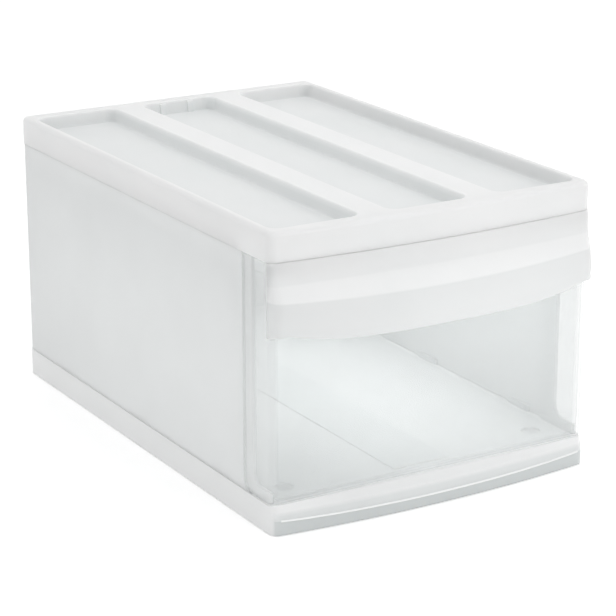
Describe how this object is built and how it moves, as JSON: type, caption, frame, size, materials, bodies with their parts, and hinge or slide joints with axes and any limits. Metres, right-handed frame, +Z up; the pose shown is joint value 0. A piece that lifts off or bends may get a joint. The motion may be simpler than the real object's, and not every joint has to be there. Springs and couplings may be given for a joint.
{
  "type": "stackable drawer box",
  "caption": "Milky stackable storage case with a clear full-width sliding drawer, bowed pull, lipped base and a ribbed recessed top.",
  "frame": {"origin": "middle of the overall footprint, on the surface that the feet stand on", "axes": "+X to the box's left-right width, +Y to the back (the drawer opens to -Y), +Z up"},
  "size_m": [0.255, 0.395, 0.207],
  "materials": {
    "milky_polypropylene": "natural translucent polypropylene, satin moulded",
    "milky_cover": "milky translucent polypropylene, smooth moulded",
    "clear_plastic": "clear polished moulding",
    "soft_foot": "soft translucent elastomer, matte"
  },
  "bodies": {
    "case": {"base_tray": "milky_polypropylene", "left_side_wall": "milky_polypropylene", "right_side_wall": "milky_polypropylene", "back_wall": "milky_polypropylene", "top_cover": "milky_cover", "foot_front_left": "soft_foot", "foot_front_right": "soft_foot", "foot_back_left": "soft_foot", "foot_back_right": "soft_foot"},
    "drawer": {"drawer_tub": "clear_plastic", "drawer_handle": "milky_cover"}
  },
  "joints": [
    {"name": "drawer_slide", "type": "slide", "parent": "case", "child": "drawer", "axis": [0, -1, 0], "range_m": [0, 0.302]}
  ]
}
